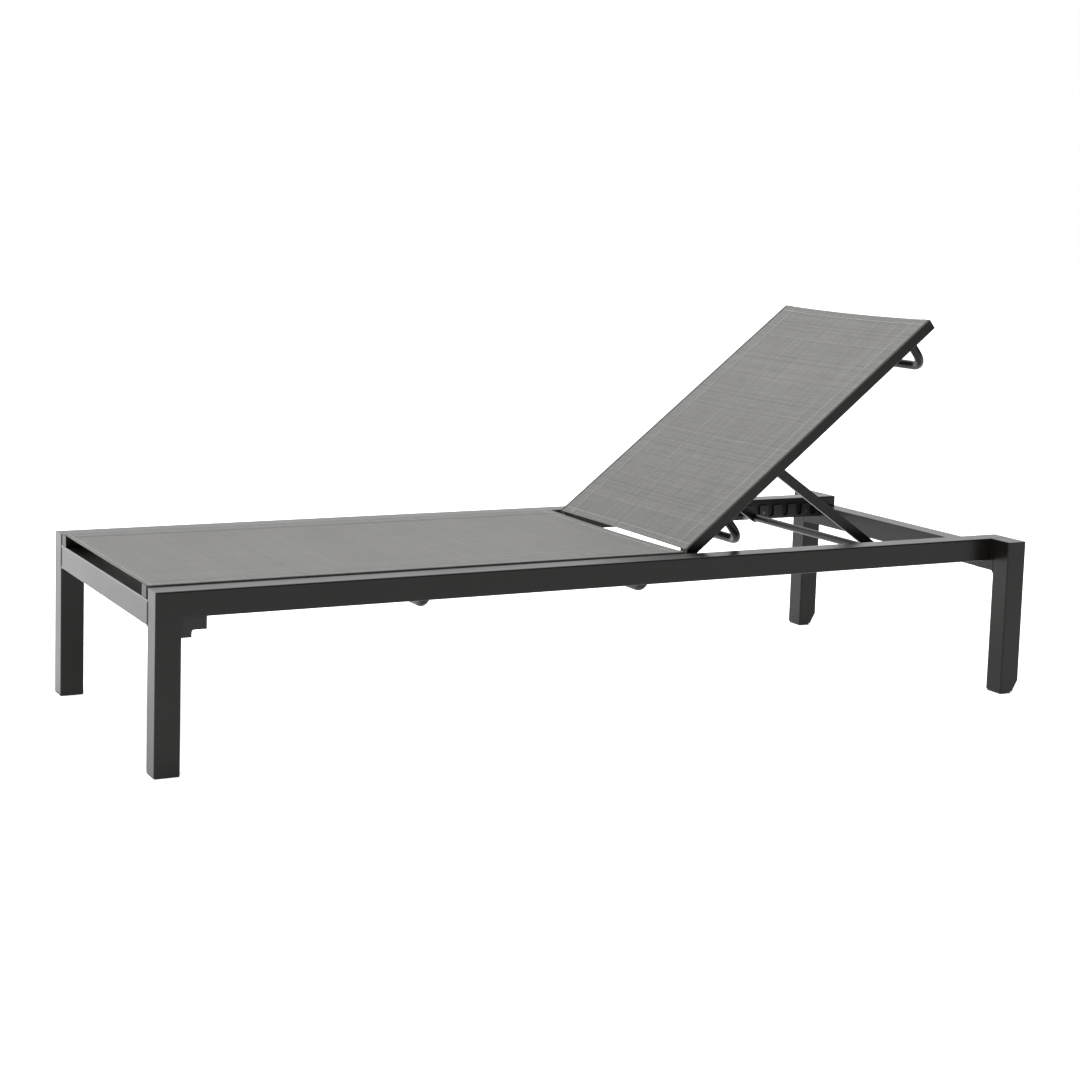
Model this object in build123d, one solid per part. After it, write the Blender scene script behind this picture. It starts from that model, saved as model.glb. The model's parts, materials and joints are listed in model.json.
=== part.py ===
from build123d import *
import math
import os

# Reclining sun lounger, millimetres. +X points to the head end, +Z up, +Y to the right-hand
# side of a person lying on it. The origin is on the floor, under the middle of the frame.

# overall
length = 2000.0
frame_height = 348.0
rail_half_width = 356.0
foot_x = -length / 2
head_x = length / 2

# rectangular tube of the frame
rail_height = 50.0
rail_width = 50.0
leg_depth = 50.0
wall = 2.0
edge_radius = 3.0
rail_inner = rail_half_width - rail_width
rail_bottom = frame_height - rail_height

# head legs stand outside the rails so that loungers can be stacked
leg_gap = 9.0
head_leg_inner = rail_half_width + leg_gap
head_leg_outer = head_leg_inner + rail_width
chamfer_height = 32.0
chamfer_depth = 19.0
pad_height = 4.0
glide_height = 3.0
glide_plug = 18.0
plug_clearance = 0.2
cap_thickness = 3.0
leg_solid_end = 38.0

# sling track: the extrusion that grips the edge of the fabric
track_outer = 280.0
track_inner = 252.0
track_depth = 24.0
slot_inner = 272.6
slot_outer = 275.8
ledge_depth = 1.5
cord_radius = 2.6
cord_bore_radius = 4.2
cord_centre = (slot_inner + slot_outer) / 2
cord_drop = 9.5
hollow_inner = 254.5
hollow_outer = 267.5
hollow_top = 3.5
hollow_bottom = 22.0
track_cap = 2.0

# fabric
fabric_top = 0.3
fabric_tail = 1.0
sling_level = 350.0
seat_sling_start = foot_x + 3.0
seat_track_end = 164.0
seat_wider = 18.0

# cross rails lie under the tracks
cross_top = sling_level - track_depth
cross_bottom = cross_top - rail_height
head_cross_top = cross_top - 1.0
weld_radius = 6.0

# backrest
recline = 38.2
backrest_x = 181.0
backrest_z = 350.5
backrest_length = 791.0
tube_start = 0.0
back_sling_start = 1.0
pivot_s = -10.5
pivot_depth = 28.0
prop_s = 287.0
prop_depth = 14.0

# prop: two struts and a bar whose ends drop into the racks
bar_x = 714.0
bar_z = 314.0
bar_radius = 8.6
bar_bore = 6.6
bar_half = 284.0
bar_end_half = 300.2
strut_width = 22.0
strut_outer = 250.0
strut_inner = 242.0
strut_chamfer = 0.8
running = 0.05

# racks on the inner faces of the side rails
rack_inner = 300.8
notch_pitch = 43.0
notch_radius = 9.2
notches_towards_head = 5
notches_towards_foot = 2
rack_bottom = rail_bottom + 1.5
rack_top = 333.0
rack_margin = 18.0
rack_screw_radius = 2.0
rack_screw_head = 4.0
rack_screw_sunk = 2.4

# hinge of the backrest
lug_inner = 262.0
lug_outer = 282.0
lug_radius = 11.0
tongue_length = 42.0
pivot_radius = 4.0
bush_radius = 6.0
pivot_head_radius = 7.0
prop_bolt_radius = 5.0
prop_head_radius = 9.0
spacer_radius = 10.0
head_thickness = 4.6
pivot_nut_flats = 13.0
pivot_nut_height = 6.0
prop_nut_flats = 11.5
prop_nut_height = 4.5

# bent spreader bars that hold the tracks apart
spreader_radius = 10.0
spreader_bore = 8.0
spreader_half = 266.0
spreader_bend = 36.0
seat_spreader_drop = 76.0
back_spreader_drop = 84.0
seat_spreader_x = {"foot": -425.0, "middle": 80.0}
back_spreader_s = {"lower": 121.0, "upper": 726.0}

# stacking brackets under the rails behind the foot legs
bracket_inner = 318.0
bracket_outer = 349.0
bracket_long = 50.0
bracket_short = 21.0
bracket_upper = 25.0
bracket_lower = 14.0
bracket_radius = 5.0

spacer_x = (-910.0, -530.0, -150.0, 120.0)
spacer_long = 30.0
spacer_low = 329.0
spacer_high = 343.0

sides = {"left": -1, "right": 1}
tilt = math.radians(recline)


def save(name, *solids):
    export_step(Compound(children=list(solids)), "parts/" + name + ".step")


def span(a, b):
    return (min(a, b), max(a, b))


def block(x, y, z):
    size = [r[1] - r[0] for r in (x, y, z)]
    middle = [(r[0] + r[1]) / 2 for r in (x, y, z)]
    return Pos(*middle) * Box(*size)


def bar(x, y, z, run, radius=edge_radius):
    solid = block(x, y, z)
    return fillet(solid.edges().filter_by(run), radius)


def tube(x, y, z, run):
    outer = bar(x, y, z, run)
    ranges = []
    for low_high, axis in zip((x, y, z), (Axis.X, Axis.Y, Axis.Z)):
        grow = 1.0 if axis == run else -wall
        ranges.append((low_high[0] - grow, low_high[1] + grow))
    return outer - block(*ranges)


def across(side, a, b):
    """Range of y between two distances from the middle, on one side."""
    return span(side * a, side * b)


def disc(x, z, y, radius, bore=0.0):
    """Round piece whose axis lies along Y, with an optional bore."""
    middle = (y[0] + y[1]) / 2
    place = Pos(x, middle, z) * Rot(90, 0, 0)
    solid = place * Cylinder(radius, y[1] - y[0])
    if bore:
        solid -= place * Cylinder(bore, y[1] - y[0] + 2)
    return solid


def plate(face, y):
    """Flat shape drawn in X and Z, as thick as the range of y."""
    plane = Plane(origin=(0, y[1], 0), x_dir=(1, 0, 0), z_dir=(0, -1, 0))
    return extrude(plane * face, y[1] - y[0])


def on_backrest(s, depth):
    """Place on the raised backrest: along its length, and down from its fabric."""
    x = backrest_x + s * math.cos(tilt) + depth * math.sin(tilt)
    z = backrest_z + s * math.sin(tilt) - depth * math.cos(tilt)
    return x, z


raised = Pos(backrest_x, 0, backrest_z) * Rot(0, -recline, 0)
level = Pos(0, 0, sling_level)
pivot_x, pivot_z = on_backrest(pivot_s, pivot_depth)
prop_x, prop_z = on_backrest(prop_s, prop_depth)


# frame


def foot_corner(side, leg):
    """Side rail and foot leg are mitred, so each is a tube cut by the same plane."""
    y = across(side, rail_inner, rail_half_width)
    mitre = Plane(
        origin=(foot_x, 0, frame_height),
        z_dir=(rail_height, 0, leg_depth),
    )
    if leg:
        piece = tube((foot_x, foot_x + leg_depth), y, (glide_height, frame_height), Axis.Z)
        return split(piece, bisect_by=mitre, keep=Keep.BOTTOM)
    x = (foot_x, head_x - cap_thickness)
    piece = tube(x, y, (rail_bottom, frame_height), Axis.X)
    return split(piece, bisect_by=mitre, keep=Keep.TOP)


def rack_screw_places():
    first = bar_x - notches_towards_foot * notch_pitch
    count = notches_towards_foot + notches_towards_head
    return [first + (k + 0.5) * notch_pitch for k in (0, count // 2, count - 1)]


def side_rail(side):
    rail = foot_corner(side, leg=False)
    inner_wall = across(side, rail_inner - 1, rail_inner + wall + 1)
    rail -= disc(pivot_x, pivot_z, inner_wall, pivot_radius + running)
    for x in rack_screw_places():
        rail -= disc(x, bar_z, inner_wall, rack_screw_radius + running)
    return rail


def head_leg(side):
    x = (head_x - leg_depth, head_x)
    y = across(side, head_leg_inner, head_leg_outer)
    leg = bar(x, y, (pad_height, frame_height - cap_thickness), Axis.Z)
    leg -= block(
        (x[0] + wall, x[1] - wall),
        (y[0] + wall, y[1] - wall),
        (leg_solid_end, frame_height),
    )
    return leg - chamfer_wedge()


def chamfer_wedge():
    corner = Polyline(
        (head_x + 1, 0),
        (head_x - chamfer_depth, 0),
        (head_x, chamfer_height),
        (head_x + 1, chamfer_height),
        close=True,
    )
    return plate(make_face(corner), (-head_leg_outer - 1, head_leg_outer + 1))


def head_pad(side):
    x = (head_x - leg_depth + 1.5, head_x - chamfer_depth + 1)
    y = across(side, head_leg_inner + 1.5, head_leg_outer - 1.5)
    return bar(x, y, (0, pad_height), Axis.Z, 3.0)


def foot_glide(side):
    x = (foot_x + 0.5, foot_x + leg_depth - 0.5)
    y = across(side, rail_inner + 0.5, rail_half_width - 0.5)
    foot = bar(x, y, (0, glide_height), Axis.Z)
    inset = wall + plug_clearance
    plug = block(
        (x[0] - 0.5 + inset, x[1] + 0.5 - inset),
        (y[0] - 0.5 + inset, y[1] + 0.5 - inset),
        (glide_height - 1, glide_height + glide_plug),
    )
    return foot + plug


def foot_cross_rail():
    half = rail_inner
    outline = make_face(
        Polyline(
            (-half, cross_bottom - weld_radius),
            (-half, cross_top),
            (half, cross_top),
            (half, cross_bottom - weld_radius),
            (half - weld_radius, cross_bottom),
            (weld_radius - half, cross_bottom),
            close=True,
        )
    )
    for end in (-1, 1):
        outline -= Pos(end * (half - weld_radius), cross_bottom - weld_radius) * Circle(weld_radius)
    end_plane = Plane(origin=(foot_x, 0, 0), x_dir=(0, 1, 0), z_dir=(1, 0, 0))
    solid = extrude(end_plane * outline, leg_depth)
    long_edges = solid.edges().filter_by(Axis.Y).filter_by(lambda e: e.length > half)
    solid = fillet(long_edges, edge_radius)
    hollow = block(
        (foot_x + wall, foot_x + leg_depth - wall),
        (-half - 1, half + 1),
        (cross_bottom + wall, cross_top - wall),
    )
    return solid - hollow


def head_cross_rail():
    """Full height between the rails, half height where it passes under them to the legs."""
    x = (head_x - leg_depth, head_x)
    middle = bar(x, (-rail_inner, rail_inner), (cross_bottom, head_cross_top), Axis.Y)
    middle -= block(
        (x[0] + wall, x[1] - wall),
        (-rail_inner - 1, rail_inner + 1),
        (cross_bottom + wall, head_cross_top - wall),
    )
    for side in sides.values():
        low = across(side, rail_inner, head_leg_inner)
        middle += block(x, low, (cross_bottom, rail_bottom))
        corner = across(side, head_leg_inner - weld_radius, head_leg_inner)
        weld = block(x, corner, (cross_bottom - weld_radius, cross_bottom))
        centre_y = side * (head_leg_inner - weld_radius)
        scoop = Rot(0, 90, 0) * Cylinder(weld_radius, 3 * leg_depth)
        weld -= Pos(x[0], centre_y, cross_bottom - weld_radius) * scoop
        middle += weld
    return middle


def head_block(side):
    x = (head_x - leg_depth, head_x)
    return block(x, across(side, rail_half_width, head_leg_inner), (rail_bottom, frame_height))


def rail_cap(side):
    x = (head_x - cap_thickness, head_x)
    y = across(side, rail_inner, rail_half_width)
    return bar(x, y, (rail_bottom, frame_height), Axis.X)


def head_leg_cap(side):
    x = (head_x - leg_depth, head_x)
    y = across(side, head_leg_inner, head_leg_outer)
    return bar(x, y, (frame_height - cap_thickness, frame_height), Axis.Z)


def stacking_bracket(side):
    x = foot_x + leg_depth
    step = rail_bottom - bracket_upper
    outline = Polyline(
        (x, rail_bottom),
        (x + bracket_long, rail_bottom),
        (x + bracket_long, step),
        (x + bracket_short, step),
        (x + bracket_short, step - bracket_lower),
        (x, step - bracket_lower),
        close=True,
    )
    solid = plate(make_face(outline), across(side, bracket_inner, bracket_outer))
    step_x = x + bracket_short
    inner = solid.edges().filter_by(Axis.Y).filter_by_position(Axis.X, step_x - 1, step_x + 1)
    return fillet(inner.sort_by(Axis.Z)[-1], bracket_radius)


def rack(side):
    """Toothed strip: a slot for each position of the bar, open at the top."""
    low = bar_x - notches_towards_foot * notch_pitch - rack_margin
    high = bar_x + notches_towards_head * notch_pitch + rack_margin
    y = across(side, rack_inner, rail_inner)
    strip = block((low, high), y, (rack_bottom, rack_top))
    strip = fillet(strip.edges().filter_by(Axis.Y), 4.0)
    for k in range(-notches_towards_foot, notches_towards_head + 1):
        x = bar_x + k * notch_pitch
        strip -= disc(x, bar_z, (y[0] - 1, y[1] + 1), notch_radius)
        mouth = (x - notch_radius, x + notch_radius)
        strip -= block(mouth, (y[0] - 1, y[1] + 1), (bar_z, rack_top + 1))
    for x in rack_screw_places():
        strip -= disc(x, bar_z, (y[0] - 1, y[1] + 1), rack_screw_radius + running)
        sunk = across(side, rack_inner - 1, rack_inner + rack_screw_sunk)
        strip -= disc(x, bar_z, sunk, rack_screw_head + running)
    return strip


def rack_screw(side, x):
    head_end = rack_inner + rack_screw_sunk
    shank = disc(x, bar_z, across(side, head_end - 1, rail_inner + wall + 4), rack_screw_radius)
    head = disc(x, bar_z, across(side, rack_inner + 0.2, head_end), rack_screw_head)
    return shank + head


# sling track and what it holds, drawn along X with the fabric's top at z = 0


def track(side, start, end, wider=0.0):
    middle = (track_inner + track_outer) / 2
    face = Pos(middle, -track_depth / 2) * Rectangle(track_outer - track_inner, track_depth)
    face = fillet(face.vertices().group_by(Axis.Y)[0], 2.0)
    cuts = (
        (track_inner - 1, slot_inner, -ledge_depth, 1),
        (slot_inner, slot_outer, -cord_drop, 1),
        (hollow_inner, hollow_outer, -hollow_bottom, -hollow_top),
    )
    for left, right, low, high in cuts:
        face -= Pos((left + right) / 2, (low + high) / 2) * Rectangle(right - left, high - low)
    face -= Pos(cord_centre, -cord_drop) * Circle(cord_bore_radius)
    section = Plane(origin=(start, wider, 0), x_dir=(0, 1, 0), z_dir=(1, 0, 0))
    solid = extrude(section * face, end - start)
    return solid if side > 0 else mirror(solid, Plane.XZ)


def track_end(side, start, end, wider=0.0):
    y = across(side, track_inner + wider, track_outer + wider)
    return bar((start, end), y, (-track_depth, 0), Axis.X, 2.0)


def edge_cord(side, start, end, wider=0.0):
    place = Pos((start + end) / 2, side * (cord_centre + wider), -cord_drop) * Rot(0, 90, 0)
    return place * Cylinder(cord_radius, end - start)


def sling(start, end, wider=0.0):
    """Fabric with its two edges turned down into the slots."""
    half = cord_centre + wider + fabric_tail / 2
    sheet = block((start, end), (-half, half), (-ledge_depth, -fabric_top))
    for side in sides.values():
        low = cord_radius - cord_drop + 0.1
        sheet += block((start, end), across(side, half - fabric_tail, half), (low, -fabric_top))
    return sheet


def spreader(x, drop, wider=0.0):
    """Round tube that hangs from both tracks and crosses under the fabric."""
    half = spreader_half + wider
    corners = (
        (x, -half, -track_depth),
        (x, -half, -drop),
        (x, half, -drop),
        (x, half, -track_depth),
    )
    path = FilletPolyline(*corners, radius=spreader_bend)
    ring = Circle(spreader_radius) - Circle(spreader_bore)
    return sweep(Plane(origin=corners[0], z_dir=(0, 0, -1)) * ring, path=path)


# backrest and prop


def backrest_tube(side):
    solid = track(side, tube_start, backrest_length - track_cap)
    bolt_wall = across(side, track_inner - 1, hollow_inner + 1)
    return solid - disc(prop_s, -prop_depth, bolt_wall, prop_bolt_radius + running)


def hinge_lug(side):
    """Eye on the pivot, with a tongue that slides into the hollow of the backrest tube."""
    y = across(side, lug_inner, lug_outer - 2)
    body = Polyline(
        (tube_start, -2.0),
        (tube_start, -track_depth + 1.0),
        (pivot_s + 8.0, -pivot_depth - 7.5),
        (pivot_s - 8.0, -pivot_depth + 7.5),
        close=True,
    )
    solid = plate(make_face(body), y)
    solid += disc(pivot_s, -pivot_depth, across(side, lug_inner, lug_outer), lug_radius)
    tongue_y = across(side, hollow_inner + 0.3, hollow_outer - 0.3)
    tongue = block(
        (tube_start - 6.0, tube_start + tongue_length),
        tongue_y,
        (-hollow_bottom + 0.3, -hollow_top - 0.3),
    )
    solid += tongue
    return solid - disc(pivot_s, -pivot_depth, across(side, lug_inner - 5, lug_outer + 1), bush_radius)


def hinge_bush(side):
    y = across(side, lug_inner - 0.3, lug_outer + 0.2)
    return disc(pivot_s, -pivot_depth, y, bush_radius, pivot_radius + running)


def pivot_spacer(side):
    y = across(side, lug_outer + 0.5, rail_inner)
    return disc(pivot_x, pivot_z, y, spacer_radius, pivot_radius + running)


def pivot_bolt(side):
    shank = disc(pivot_x, pivot_z, across(side, lug_inner - 1.0, rail_inner + wall + 7), pivot_radius)
    head = disc(pivot_x, pivot_z, across(side, lug_inner - 6.0, lug_inner - 0.8), pivot_head_radius)
    return shank + head


def hex_nut(x, z, y, across_flats, bore):
    face = RegularPolygon(across_flats / 2, 6, major_radius=False) - Circle(bore)
    return plate(Pos(x, z) * face, y)


def pivot_nut(side):
    y = across(side, rail_inner + wall, rail_inner + wall + pivot_nut_height)
    return hex_nut(pivot_x, pivot_z, y, pivot_nut_flats, pivot_radius + running)


def prop_bolt(side):
    head_end = strut_inner - 0.4
    shank_y = across(side, head_end - 0.6, hollow_inner + prop_nut_height + 0.5)
    head_y = across(side, head_end - head_thickness, head_end)
    shank = disc(prop_s, -prop_depth, shank_y, prop_bolt_radius)
    head = disc(prop_s, -prop_depth, head_y, prop_head_radius)
    return shank + head


def prop_nut(side):
    y = across(side, hollow_inner, hollow_inner + prop_nut_height)
    return hex_nut(prop_s, -prop_depth, y, prop_nut_flats, prop_bolt_radius + running)


def prop_washer(side):
    y = across(side, strut_outer, track_inner - 0.3)
    return disc(prop_x, prop_z, y, prop_head_radius, prop_bolt_radius + running)


def prop_strut(side):
    run = math.hypot(bar_x - prop_x, bar_z - prop_z)
    angle = math.degrees(math.atan2(bar_z - prop_z, bar_x - prop_x))
    middle = Pos((bar_x + prop_x) / 2, (bar_z + prop_z) / 2)
    face = middle * Rot(0, 0, angle) * SlotCenterToCenter(run, strut_width)
    face -= Pos(prop_x, prop_z) * Circle(prop_bolt_radius + running)
    face -= Pos(bar_x, bar_z) * Circle(bar_radius + running)
    solid = plate(face, across(side, strut_inner, strut_outer))
    half_round = math.pi * strut_width / 2
    straight = solid.edges().filter_by(lambda e: e.length > run / 2)
    rounded = solid.edges().filter_by(lambda e: abs(e.length - half_round) < 1)
    return chamfer(straight + rounded, strut_chamfer)


def bar_end(side):
    cap = disc(bar_x, bar_z, across(side, bar_half, bar_end_half), bar_radius)
    spigot = disc(bar_x, bar_z, across(side, bar_half - 15, bar_half), bar_bore - 0.1)
    return cap + spigot


os.makedirs("parts", exist_ok=True)

for name, side in sides.items():
    save("side_rail_" + name, side_rail(side))
    save("foot_leg_" + name, foot_corner(side, leg=True))
    save("head_leg_" + name, head_leg(side))
    save("head_leg_block_" + name, head_block(side))
    save("stacking_bracket_" + name, stacking_bracket(side))
    save("ratchet_rack_" + name, rack(side))
    seat_run = (foot_x + track_cap, seat_track_end - track_cap, seat_wider)
    save("seat_track_" + name, level * track(side, *seat_run))
    cord_run = (seat_sling_start, seat_track_end - track_cap, seat_wider)
    save("seat_edge_cord_" + name, level * edge_cord(side, *cord_run))
    save("backrest_tube_" + name, raised * backrest_tube(side))
    back_cord = edge_cord(side, back_sling_start, backrest_length - track_cap)
    save("backrest_edge_cord_" + name, raised * back_cord)
    save("hinge_lug_" + name, raised * hinge_lug(side))
    save("prop_strut_" + name, prop_strut(side))

save("foot_cross_rail", foot_cross_rail())
save("head_cross_rail", head_cross_rail())
save("rail_end_caps", *[rail_cap(side) for side in sides.values()])
save("head_leg_caps", *[head_leg_cap(side) for side in sides.values()])
save("foot_glides", *[foot_glide(side) for side in sides.values()])
save("head_foot_pads", *[head_pad(side) for side in sides.values()])
save("rack_screws", *[rack_screw(side, x) for side in sides.values() for x in rack_screw_places()])

track_ends = [(foot_x, foot_x + track_cap), (seat_track_end - track_cap, seat_track_end)]
save(
    "seat_track_caps",
    *[level * track_end(side, *x, seat_wider) for side in sides.values() for x in track_ends],
)
save(
    "track_spacers",
    *[
        block(
            (x - spacer_long / 2, x + spacer_long / 2),
            across(side, track_outer + seat_wider, rail_inner),
            (spacer_low, spacer_high),
        )
        for side in sides.values()
        for x in spacer_x
    ],
)
save("seat_sling", level * sling(seat_sling_start, seat_track_end - track_cap, seat_wider))
for name, x in seat_spreader_x.items():
    save("seat_spreader_" + name, level * spreader(x, seat_spreader_drop, seat_wider))

save("pivot_bolts", *[pivot_bolt(side) for side in sides.values()])
save("pivot_nuts", *[pivot_nut(side) for side in sides.values()])
save("pivot_spacers", *[pivot_spacer(side) for side in sides.values()])

top = (backrest_length - track_cap, backrest_length)
save("backrest_tube_caps", *[raised * track_end(side, *top) for side in sides.values()])
save("backrest_sling", raised * sling(back_sling_start, backrest_length - track_cap))
for name, s in back_spreader_s.items():
    save("backrest_spreader_" + name, raised * spreader(s, back_spreader_drop))
save("hinge_bushes", *[raised * hinge_bush(side) for side in sides.values()])
save("prop_pivot_bolts", *[raised * prop_bolt(side) for side in sides.values()])
save("prop_pivot_nuts", *[raised * prop_nut(side) for side in sides.values()])

bar_range = (-bar_half, bar_half)
save("prop_cross_bar", disc(bar_x, bar_z, bar_range, bar_radius, bar_bore))
save("prop_bar_ends", *[bar_end(side) for side in sides.values()])
save("prop_washers", *[prop_washer(side) for side in sides.values()])
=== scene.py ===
import json
import math
import bpy
import numpy as np
from mathutils import Matrix


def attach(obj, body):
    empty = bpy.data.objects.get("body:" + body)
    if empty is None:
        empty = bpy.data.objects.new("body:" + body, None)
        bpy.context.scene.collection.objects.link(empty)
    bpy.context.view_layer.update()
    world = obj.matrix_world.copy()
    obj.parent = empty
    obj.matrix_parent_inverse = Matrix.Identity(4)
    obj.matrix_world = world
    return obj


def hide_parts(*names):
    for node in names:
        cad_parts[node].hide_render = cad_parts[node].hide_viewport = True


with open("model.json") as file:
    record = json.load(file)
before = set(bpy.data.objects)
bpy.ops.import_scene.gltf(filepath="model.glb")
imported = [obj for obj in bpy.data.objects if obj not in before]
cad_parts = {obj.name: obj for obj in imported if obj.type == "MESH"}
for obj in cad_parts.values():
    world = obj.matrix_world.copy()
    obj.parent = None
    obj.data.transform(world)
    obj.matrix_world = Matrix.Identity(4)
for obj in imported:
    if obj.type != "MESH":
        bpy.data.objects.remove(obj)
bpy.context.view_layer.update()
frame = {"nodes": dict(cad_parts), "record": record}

cadNodes = frame["nodes"]


cameraLook = {
    "place": (-2.0683, -3.8009, 1.0668),   # metres, in the lounger's own frame
    "turned": 28.19,                       # degrees from looking along +Y towards +X
    "down": 6.35,
    "rolled": 1.83,
    "lens": 66.26,
    "shiftY": -0.1048,
    "farthest": 60.0,
}


def makeCamera():
    # the view direction, then a level sideways direction, both turned a little by the roll
    turned, down, rolled = (math.radians(cameraLook[k]) for k in ("turned", "down", "rolled"))
    along = math.cos(down)
    ahead = np.array([math.sin(turned) * along, math.cos(turned) * along, -math.sin(down)])
    level = np.array([math.cos(turned), -math.sin(turned), 0.0])
    upward = np.cross(level, ahead)
    right = level * math.cos(rolled) + upward * math.sin(rolled)
    above = upward * math.cos(rolled) - level * math.sin(rolled)
    camera = bpy.data.objects.new("camera", bpy.data.cameras.new("camera"))
    bpy.context.scene.collection.objects.link(camera)
    camera.data.lens = cameraLook["lens"]
    camera.data.shift_y = cameraLook["shiftY"]
    camera.data.clip_end = cameraLook["farthest"]
    turn = Matrix(np.stack([right, above, -ahead], 1).tolist()).to_4x4()
    camera.matrix_world = Matrix.Translation(cameraLook["place"]) @ turn
    bpy.context.scene.camera = camera
    print("camera placed")


makeCamera()

studio = {
    "floorHalf": 30.0,
    "floorTone": 0.86,
    "floorGlow": 0.72,
    "floorRough": 0.9,
    "floorSheen": 0.1,
    "skyDark": 0.12,       # towards the viewer's side of the lounger
    "skyBright": 1.65,     # behind and to the left of it
    "skyTowards": (-0.45, 0.80, 0.40),
    "skyFade": (-0.5, 0.55),   # where dark begins to turn bright, and where it is bright
    "softboxes": [
        {
            "name": "overhead",
            "place": (-0.2, 0.6, 3.6),
            "aim": (0.0, 0.0, 0.3),
            "size": (4.5, 3.2),
            "power": 110,
        },
        {
            "name": "left_back",
            "place": (-3.2, 2.9, 0.9),
            "aim": (-0.8, 0.0, 0.3),
            "size": (3.2, 1.7),
            "power": 85,
        },
    ],
}


def makeStudio():
    # a plain floor, a sky brighter behind the lounger than before it, and two soft lights
    scene = bpy.context.scene
    scene.view_settings.view_transform = "Standard"
    half = studio["floorHalf"]
    corners = [(-half, -half, 0), (half, -half, 0), (half, half, 0), (-half, half, 0)]
    mesh = bpy.data.meshes.new("floor")
    mesh.from_pydata(corners, [], [(0, 1, 2, 3)])
    floor = bpy.data.objects.new("floor", mesh)
    scene.collection.objects.link(floor)
    paper = bpy.data.materials.new("floor_paper")
    paper.use_nodes = True
    shader = paper.node_tree.nodes["Principled BSDF"]
    tone = studio["floorTone"]
    shader.inputs["Base Color"].default_value = (tone, tone, tone, 1)
    shader.inputs["Roughness"].default_value = studio["floorRough"]
    shader.inputs["Specular IOR Level"].default_value = studio["floorSheen"]
    shader.inputs["Emission Color"].default_value = (1, 1, 1, 1)
    shader.inputs["Emission Strength"].default_value = studio["floorGlow"]
    mesh.materials.append(paper)

    world = bpy.data.worlds.new("studio")
    scene.world = world
    world.use_nodes = True
    tree = world.node_tree
    tree.nodes.clear()
    coords = tree.nodes.new("ShaderNodeTexCoord")
    along = tree.nodes.new("ShaderNodeVectorMath")
    along.operation = "DOT_PRODUCT"
    aim = np.array(studio["skyTowards"])
    along.inputs[1].default_value = tuple(aim / np.linalg.norm(aim))
    fade = tree.nodes.new("ShaderNodeMapRange")
    fade.interpolation_type = "SMOOTHSTEP"
    fade.inputs["From Min"].default_value = studio["skyFade"][0]
    fade.inputs["From Max"].default_value = studio["skyFade"][1]
    fade.inputs["To Min"].default_value = studio["skyDark"]
    fade.inputs["To Max"].default_value = studio["skyBright"]
    seen = tree.nodes.new("ShaderNodeLightPath")
    lighting = tree.nodes.new("ShaderNodeBackground")
    backdrop = tree.nodes.new("ShaderNodeBackground")
    backdrop.inputs["Color"].default_value = (1, 1, 1, 1)
    mix = tree.nodes.new("ShaderNodeMixShader")
    out = tree.nodes.new("ShaderNodeOutputWorld")
    link = tree.links.new
    link(coords.outputs["Generated"], along.inputs[0])
    link(along.outputs["Value"], fade.inputs["Value"])
    link(fade.outputs["Result"], lighting.inputs["Strength"])
    link(seen.outputs["Is Camera Ray"], mix.inputs["Fac"])
    link(lighting.outputs["Background"], mix.inputs[1])
    link(backdrop.outputs["Background"], mix.inputs[2])
    link(mix.outputs["Shader"], out.inputs["Surface"])

    for box in studio["softboxes"]:
        light = bpy.data.lights.new(box["name"], "AREA")
        light.shape = "RECTANGLE"
        light.size, light.size_y = box["size"]
        light.energy = box["power"]
        holder = bpy.data.objects.new(box["name"], light)
        scene.collection.objects.link(holder)
        place = np.array(box["place"])
        back = place - np.array(box["aim"])
        back /= np.linalg.norm(back)
        side = np.cross((0.0, 1.0, 0.0) if abs(back[2]) > 0.9 else (0.0, 0.0, 1.0), back)
        side /= np.linalg.norm(side)
        turn = Matrix(np.stack([side, np.cross(back, side), back], 1).tolist()).to_4x4()
        holder.matrix_world = Matrix.Translation(box["place"]) @ turn
        holder.visible_camera = False
    print("studio lit")


makeStudio()



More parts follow.
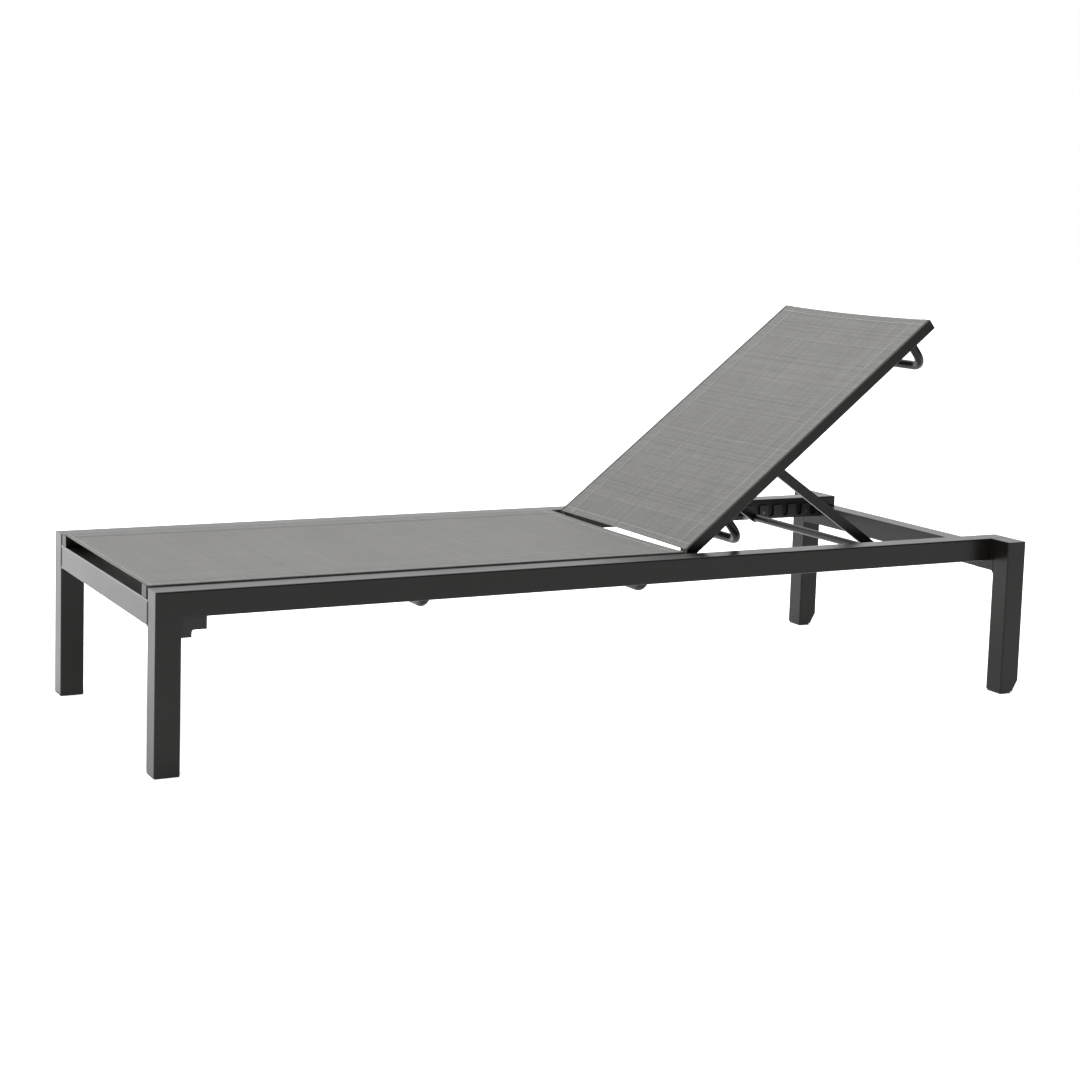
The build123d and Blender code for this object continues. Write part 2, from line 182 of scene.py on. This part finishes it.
class Finish:
    # one node material: its shader, and short ways to add nodes and join them
    def __init__(self, name, tone, roughness, specular=0.5, metal=0.0):
        self.material = bpy.data.materials.new(name)
        self.material.use_nodes = True
        self.tree = self.material.node_tree
        self.shader = self.tree.nodes["Principled BSDF"]
        self.tone = tone
        self.set("Base Color", (*tone, 1))
        self.set("Roughness", roughness)
        self.set("Specular IOR Level", specular)
        self.set("Metallic", metal)

    def set(self, socket, value):
        # one of the shader's own sockets gets a constant or another node's result
        self.feed(value, self.shader.inputs[socket])

    def feed(self, value, socket):
        # a result is joined by a link, and anything else is written in as a constant
        if isinstance(value, bpy.types.NodeSocket):
            self.tree.links.new(value, socket)
        else:
            socket.default_value = value

    def node(self, kind, settings=None, **inputs):
        # a new node with its settings, and its inputs fed by name
        made = self.tree.nodes.new("ShaderNode" + kind)
        for key, value in (settings or {}).items():
            setattr(made, key, value)
        for key, value in inputs.items():
            self.feed(value, made.inputs[key.replace("_", " ")])
        return made

    def math(self, operation, *values):
        # the result of one sum on up to three values
        made = self.node("Math", {"operation": operation})
        for socket, value in zip(made.inputs, values):
            self.feed(value, socket)
        return made.outputs[0]

    def stretch(self, coords, scale):
        # coordinates multiplied by a factor along each axis
        made = self.node("Mapping", Vector=coords)
        made.inputs["Scale"].default_value = scale
        return made.outputs[0]

    def noise(self, coords, scale, detail=2.0):
        # smooth noise between 0 and 1, finer as the scale rises
        return self.node("TexNoise", Vector=coords, Scale=scale, Detail=detail).outputs["Fac"]

    def shade(self, factor, dark, light):
        # tone of the piece, from dark times it at factor 0 to light times it at factor 1
        mix = self.node("Mix", {"data_type": "RGBA"})
        self.feed(factor, mix.inputs[0])
        self.feed((*[min(1, c * dark) for c in self.tone], 1), mix.inputs[6])
        self.feed((*[min(1, c * light) for c in self.tone], 1), mix.inputs[7])
        self.set("Base Color", mix.outputs[2])

    def rough(self, factor, low, high):
        # roughness from low at factor 0 to high at factor 1
        spread = self.node("MapRange", Value=factor, To_Min=low, To_Max=high)
        self.set("Roughness", spread.outputs["Result"])

    def bump(self, height, strength, distance):
        # the surface tilts as if it rose by height times distance, in metres
        made = self.node("Bump", Strength=strength, Distance=distance, Height=height)
        self.set("Normal", made.outputs["Normal"])


def powderCoat(name, tone, roughness, specular):
    # fine orange peel, a slow drift of tone and roughness, and faint handling marks
    finish = Finish(name, tone, roughness, specular)
    at = finish.node("TexCoord").outputs["Object"]
    peel = finish.noise(at, 640.0)
    drift = finish.noise(at, 5.0, 3.0)
    marks = finish.noise(finish.stretch(at, (3.0, 40.0, 40.0)), 3.0, 6.0)
    blend = finish.math("MULTIPLY_ADD", marks, 0.4, finish.math("MULTIPLY", drift, 0.6))
    finish.shade(blend, 0.75, 1.25)
    finish.rough(blend, roughness - 0.07, roughness + 0.07)
    finish.bump(peel, 0.14, 0.0002)
    return finish.material


def moulded(name, tone, roughness, grain):
    # moulded plastic: fine grain, with a soft variation of gloss
    finish = Finish(name, tone, roughness, 0.35)
    at = finish.node("TexCoord").outputs["Object"]
    drift = finish.noise(at, 14.0, 3.0)
    finish.shade(drift, 0.8, 1.25)
    finish.rough(drift, roughness - 0.06, roughness + 0.08)
    finish.bump(finish.noise(at, grain, 1.0), 0.2, 0.0002)
    return finish.material


def brushedSteel(name, tone, roughness):
    # dark passivated steel, its streaks running round in X and Z
    finish = Finish(name, tone, roughness, 0.5, 1.0)
    at = finish.node("TexCoord").outputs["Object"]
    streak = finish.noise(finish.stretch(at, (400.0, 30.0, 400.0)), 4.0, 3.0)
    finish.shade(streak, 0.7, 1.2)
    finish.rough(streak, roughness - 0.08, roughness + 0.12)
    finish.bump(streak, 0.08, 0.0001)
    return finish.material


weaveLook = {
    "pitch": (1.25, 1.05),     # millimetres between yarns, across the width and along the length
    "streak": (400.0, 22.0),   # how fine the streaks are across a yarn and along it
    "own": 0.30,               # shares of the tone: each yarn's own, its streaks, and broad clouds
    "streaks": 0.46,
    "clouds": 0.14,
    "darker": 0.16,
}


def weave(name, tone):
    # two sets of yarns at right angles: each yarn has its own tone, with streaks along it,
    # and the bump rises and falls once for each yarn
    finish = Finish(name, tone, 0.62, 0.42)
    finish.set("Sheen Weight", 0.06)
    finish.set("Sheen Roughness", 0.5)
    across = finish.node("UVMap", {"uv_map": "cloth"}).outputs[0]
    parts = finish.node("SeparateXYZ", Vector=across)
    tones = []
    waves = []
    for axis, pitch in enumerate(weaveLook["pitch"]):
        yarn = finish.math("MULTIPLY", parts.outputs[axis], 1000.0 / pitch)
        number = finish.math("FLOOR", yarn)
        own = finish.node("TexWhiteNoise", {"noise_dimensions": "1D"}, W=number).outputs["Value"]
        fine, coarse = weaveLook["streak"]
        scale = (fine, coarse, 1.0) if axis == 0 else (coarse, fine, 1.0)
        streak = finish.noise(finish.stretch(across, scale), 1.0, 3.0)
        streaks = finish.math("MULTIPLY", streak, weaveLook["streaks"])
        tones.append(finish.math("MULTIPLY_ADD", own, weaveLook["own"], streaks))
        swing = finish.math("SINE", finish.math("MULTIPLY", yarn, math.pi))
        waves.append(finish.math("ABSOLUTE", swing))
    cloudy = finish.noise(across, 9.0, 3.0)
    total = finish.math("ADD", tones[0], tones[1])
    total = finish.math("MULTIPLY_ADD", cloudy, weaveLook["clouds"], total)
    total = finish.math("SUBTRACT", total, weaveLook["darker"])
    finish.shade(total, 0.0, 2.1)
    finish.rough(total, 0.52, 0.72)
    finish.bump(finish.math("MULTIPLY", waves[0], waves[1]), 0.35, 0.0004)
    return finish.material


looks = {
    "frame_paint": powderCoat("frame_paint", (0.0064, 0.0057, 0.0050), 0.30, 0.21),
    "cast_lug": powderCoat("cast_lug", (0.010, 0.0092, 0.0084), 0.42, 0.24),
    "sling_fabric": weave("sling_fabric", (0.071, 0.070, 0.0665)),
    "edge_cord": moulded("edge_cord", (0.05, 0.05, 0.05), 0.5, 900.0),
    "black_plastic": moulded("black_plastic", (0.0075, 0.0072, 0.0070), 0.5, 700.0),
    "stainless_steel": brushedSteel("stainless_steel", (0.10, 0.10, 0.10), 0.42),
    "nylon": moulded("nylon", (0.020, 0.020, 0.020), 0.48, 500.0),
    "thread": moulded("thread", (0.30, 0.30, 0.29), 0.6, 1500.0),
    # the weld beads' paint: the frame paint made lighter, a painted highlight along the joints
    "weld": powderCoat("weld", (0.011, 0.010, 0.009), 0.34, 0.25),
}
slots = {part["node"]: part["material_slot"] for part in frame["record"]["subparts"]}
for name, node in cadNodes.items():
    for place in node.material_slots:
        place.material = looks[slots[name]]
print("finishes made")



def gridFaces(rows, columns):
    # four-cornered faces between neighbouring points of a grid
    first = (np.arange(rows - 1)[:, None] * columns + np.arange(columns - 1)[None, :]).ravel()
    return np.stack([first, first + 1, first + columns + 1, first + columns], 1)


def addPiece(name, verts, faces, look, body, slot, uv=None, smooth=True):
    # one object at the origin from its points and faces, riding its body
    mesh = bpy.data.meshes.new(name)
    mesh.from_pydata(verts.reshape(-1, 3).tolist(), [], faces.tolist())
    mesh.polygons.foreach_set("use_smooth", np.full(len(mesh.polygons), smooth))
    if uv is not None:
        layer = mesh.uv_layers.new(name="cloth")
        corner = np.empty(len(mesh.loops), dtype=np.int32)
        mesh.loops.foreach_get("vertex_index", corner)
        layer.data.foreach_set("uv", uv.reshape(-1, 2)[corner].ravel())
    mesh.materials.append(looks[look])
    mesh.update()
    piece = bpy.data.objects.new(name, mesh)
    bpy.context.scene.collection.objects.link(piece)
    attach(piece, body)
    return piece


def shell(top, under, uv):
    # closed sheet: the upper grid, the lower grid turned over, and a rim between their edges
    rows, columns = top.shape[:2]
    count = rows * columns
    upper = gridFaces(rows, columns)
    lower = upper[:, ::-1] + count
    number = np.arange(count).reshape(rows, columns)
    ring = np.concatenate([number[0, :-1], number[:-1, -1], number[-1, :0:-1], number[:0:-1, 0]])
    after = np.roll(ring, -1)
    rim = np.stack([after, ring, ring + count, after + count], 1)
    verts = np.concatenate([top.reshape(-1, 3), under.reshape(-1, 3)])
    return verts, np.concatenate([upper, lower, rim]), np.concatenate([uv.reshape(-1, 2)] * 2)


def ease(value):
    # held between 0 and 1, then its square times three less twice itself, so both ends are level
    value = np.clip(value, 0.0, 1.0)
    return value * value * (3 - 2 * value)


hinge = next(j for j in frame["record"]["behaviour"]["joints"] if j["name"] == "backrest_recline")
raised = math.radians(-hinge["range_deg"][0])

# places in metres: base is where the fabric's lower end lies, with along = 0 there
seat = {
    "body": "frame", "track": "seat_track_", "base": (0.0, 0.350), "tilt": 0.0,
    "start": -0.9975, "end": 0.1625, "edge": 0.2984, "sag": 0.0045, "curve": 0.003,
    "startHem": 0.011, "endHem": 0.025, "sideHem": 0.045, "flat": (0.690, 1.215),
}
backrest = {
    "body": "backrest", "track": "backrest_tube_", "base": (0.181, 0.3505), "tilt": raised,
    "start": 0.0, "end": 0.790, "edge": 0.2742, "sag": 0.0040, "curve": 0.0035,
    "startHem": 0.019, "endHem": 0.020, "sideHem": 0.045, "flat": (0.655, 0.845),
}


slingLook = {
    "lip": 0.0018,                # radius where the cloth turns down
    "tail": (-0.0085, -0.0024),   # heights of the turned-down part, lower and upper end
    "thick": 0.0006,
    "hemThick": 0.0004,
    "hemRise": 0.0006,
    "hemStep": 0.002,
    "clear": 0.0002,
}


def setPlace(cloth, along, side, height):
    # turn distances along, across and above the fabric into x, y, z
    c, s = math.cos(cloth["tilt"]), math.sin(cloth["tilt"])
    x = cloth["base"][0] + along * c - height * s
    z = cloth["base"][1] + along * s + height * c
    return np.stack([x, side + 0 * x, z], -1)


def topHeight(cloth, along, side):
    # a shallow dip in the middle that fades at both ends, plus the doubled cloth of the hems
    spread = np.clip(1 - (side / cloth["edge"]) ** 2, 0, 1)
    run = np.clip((along - cloth["start"]) / (cloth["end"] - cloth["start"]), 0, 1)
    dip = cloth["sag"] * spread * (0.55 + 0.45 * np.sin(math.pi * run))
    return slingLook["clear"] - dip + slingLook["hemRise"] * hemShare(cloth, along, side)


def hemShare(cloth, along, side):
    # 1 on a hem and 0 beyond it, easing across the width of its step
    ends = cloth["curve"] * np.clip(1 - (side / cloth["edge"]) ** 2, 0, 1)
    fromStart = along - cloth["start"] - ends
    fromEnd = cloth["end"] - ends - along
    fromSide = cloth["edge"] - np.abs(side)
    gaps = [cloth["startHem"] - fromStart, cloth["endHem"] - fromEnd, cloth["sideHem"] - fromSide]
    return ease(np.maximum.reduce(gaps) / slingLook["hemStep"] + 0.5)


def makeSling(name, node, cloth):
    # the width is laid out from one slot, over the lip, across and down into the other slot
    edge = cloth["edge"]
    hem = cloth["sideHem"]
    lip = slingLook["lip"]
    inner = np.linspace(-edge + hem + 0.003, edge - hem - 0.003, 70)
    strip = np.linspace(-edge + lip, -edge + hem - 0.003, 9)
    ridge = np.linspace(-edge + hem - 0.002, -edge + hem + 0.002, 5)
    flatSide = np.concatenate([strip, ridge, inner, -ridge[::-1], -strip[::-1]])
    turn = np.linspace(0, math.pi / 2, 6)[:-1]
    lipSide = -edge + lip * (1 - np.cos(turn))
    lipDrop = -lip * (1 - np.sin(turn))
    downDrop = np.linspace(*slingLook["tail"], 4)
    side = np.concatenate([np.full(4, -edge), lipSide, flatSide, -lipSide[::-1], np.full(4, edge)])
    drop = np.concatenate([downDrop, lipDrop, 0 * flatSide, lipDrop[::-1], downDrop[::-1]])
    width = np.concatenate([[0], np.cumsum(np.hypot(np.diff(side), np.diff(drop)))])

    startZone = np.linspace(0, cloth["startHem"] - 0.002, 6)
    endZone = np.linspace(0, cloth["endHem"] - 0.002, 6)
    long = cloth["end"] - cloth["start"]
    middle = np.linspace(cloth["startHem"] + 0.003, long - cloth["endHem"] - 0.003, 90)
    near = cloth["startHem"] + np.linspace(-0.001, 0.002, 4)
    far = long - cloth["endHem"] - np.linspace(0.002, -0.001, 4)
    share = np.concatenate([startZone, near, middle, far, long - endZone[::-1]]) / long
    curve = cloth["curve"] * np.clip(1 - (side / edge) ** 2, 0, 1)
    low, high = cloth["start"] + curve, cloth["end"] - curve
    along = low[None, :] + share[:, None] * (high - low)[None, :]
    across = np.broadcast_to(side, along.shape)
    lifted = topHeight(cloth, along, across) + drop
    top = setPlace(cloth, along, across, lifted)
    thick = slingLook["thick"] + slingLook["hemThick"] * hemShare(cloth, along, across)
    normal = np.cross(np.gradient(top, axis=0), np.gradient(top, axis=1))
    normal /= np.linalg.norm(normal, axis=2, keepdims=True)
    normal *= np.sign(normal[len(normal) // 2, len(side) // 2, 2])
    uv = np.stack([np.broadcast_to(width, along.shape), along], -1)
    verts, faces, coords = shell(top, top - normal * thick[..., None], uv)
    centre = len(side) // 2
    onward = top[1, centre] - top[0, centre]
    sideways = top[0, centre + 1] - top[0, centre]
    if np.cross(onward, sideways)[2] > 0:   # faces are turned to look outward
        faces = faces[:, ::-1]
    piece = addPiece(name, verts, faces, "sling_fabric", cloth["body"], "sling_fabric", coords)
    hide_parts(node)
    return piece


stitchLook = {
    "long": 0.0017,      # half lengths and half widths of a thread
    "wide": 0.0007,
    "high": 0.0006,
    "sunk": 0.0001,
    "taper": 0.35,
    "pitch": 0.0042,
    "insets": (0.0025, 0.0065),
    "endMargin": 0.008,
    "sideMargin": 0.006,
}


def stitchRow(cloth, alongs, sides, lengthways):
    # small eight-cornered threads, each longer in the direction of its row
    half = np.array([stitchLook["long"], stitchLook["wide"]])
    half = half if lengthways else half[::-1]
    corner = np.array([(a, b, c) for a in (-1, 1) for b in (-1, 1) for c in (0, 1)], dtype=float)
    taper = 1 - stitchLook["taper"] * corner[:, 2]
    along = alongs[:, None] + half[0] * corner[:, 0] * taper
    side = sides[:, None] + half[1] * corner[:, 1] * taper
    height = topHeight(cloth, alongs, sides)[:, None] + stitchLook["high"] * corner[:, 2]
    height = height - stitchLook["sunk"]
    return setPlace(cloth, along, side, height)


def makeStitches(name, cloth):
    # two rows beside each side hem's inner edge and one row on each end hem
    rows = []
    pitch = stitchLook["pitch"]
    margin = stitchLook["endMargin"]
    long = np.arange(cloth["start"] + margin, cloth["end"] - margin, pitch)
    for sign in (-1, 1):
        for inset in stitchLook["insets"]:
            side = sign * (cloth["edge"] - cloth["sideHem"] + inset)
            rows.append(stitchRow(cloth, long, np.full(len(long), side), True))
    margin = stitchLook["sideMargin"]
    wide = np.arange(-cloth["edge"] + margin, cloth["edge"] - margin, pitch)
    curve = cloth["curve"] * (1 - (wide / cloth["edge"]) ** 2)
    inset = stitchLook["insets"][0]
    low = cloth["start"] + curve + cloth["startHem"] - inset
    high = cloth["end"] - curve - cloth["endHem"] + inset
    rows.append(stitchRow(cloth, low, wide, False))
    rows.append(stitchRow(cloth, high, wide, False))
    points = np.concatenate(rows)
    ends = [(0, 1, 3, 2), (4, 6, 7, 5)]
    flanks = [(0, 4, 5, 1), (2, 3, 7, 6)]
    box = np.array(ends + flanks + [(0, 2, 6, 4), (1, 5, 7, 3)])
    faces = (box[None] + 8 * np.arange(len(points))[:, None, None]).reshape(-1, 4)
    return addPiece(name, points, faces, "thread", cloth["body"], "sling_fabric", smooth=False)


for label, node, cloth in (("seat", "seat_sling", seat), ("backrest", "backrest_sling", backrest)):
    sling = makeSling(label + "_fabric", node, cloth)
    makeStitches(label + "_stitches", cloth)
print("fabric made")



welds = {"radius": 0.0026, "ripple": 0.0034, "inset": 0.0012, "swell": 0.16, "tip": 1e-5}


def beadAlong(points, radius, ripple):
    # a round bead whose radius swells once every ripple metres and shrinks at both ends
    count, around = 64, 10
    first, last = np.array(points[0]), np.array(points[1])
    path = first + np.linspace(0, 1, count)[:, None] * (last - first)
    run = np.linspace(0, np.linalg.norm(last - first), count)
    ahead = (last - first) / run[-1]
    one = np.cross(ahead, (0.0, 0.0, 1.0) if abs(ahead[2]) < 0.9 else (1.0, 0.0, 0.0))
    one /= np.linalg.norm(one)
    two = np.cross(ahead, one)
    ends = np.sqrt(np.clip(1 - np.abs(np.linspace(-1, 1, count)) ** 14, 0, 1))
    swell = 1 + welds["swell"] * np.cos(2 * math.pi * run / ripple)
    size = radius * ends * swell + welds["tip"]
    angle = 2 * math.pi * np.arange(around) / around
    ring = np.cos(angle)[:, None] * one + np.sin(angle)[:, None] * two
    verts = path[:, None, :] + size[:, None, None] * ring[None]
    number = np.arange(count * around).reshape(count, around)
    after = np.roll(number, -1, axis=1)
    faces = np.stack([number[:-1], after[:-1], after[1:], number[1:]], -1).reshape(-1, 4)
    return verts.reshape(-1, 3), faces


def makeWelds():
    # upright beads where the cross rails meet their neighbours, on the faces that are seen; their
    # paint is a lighter copy of the frame paint, a painted highlight along each joint
    verts, faces, total = [], [], 0
    footX, headX, half = -1.0, 1.0, 0.306
    lines = []
    for sign in (-1, 1):
        for x in (footX + welds["inset"], footX + 0.05 - welds["inset"]):
            lines.append(((x, sign * half, 0.279), (x, sign * half, 0.323)))
        lines.append(((footX + 0.004, sign * half, 0.3252), (footX + 0.046, sign * half, 0.3252)))
        for x in (headX - welds["inset"], headX - 0.05 + welds["inset"]):
            lines.append(((x, sign * half, 0.300), (x, sign * half, 0.3225)))
    for line in lines:
        points, quads = beadAlong(line, welds["radius"], welds["ripple"])
        verts.append(points)
        faces.append(quads + total)
        total += len(points)
    beads = (np.concatenate(verts), np.concatenate(faces))
    addPiece("weld_beads", *beads, "weld", "frame", "frame_paint")


makeWelds()
print("welds made")
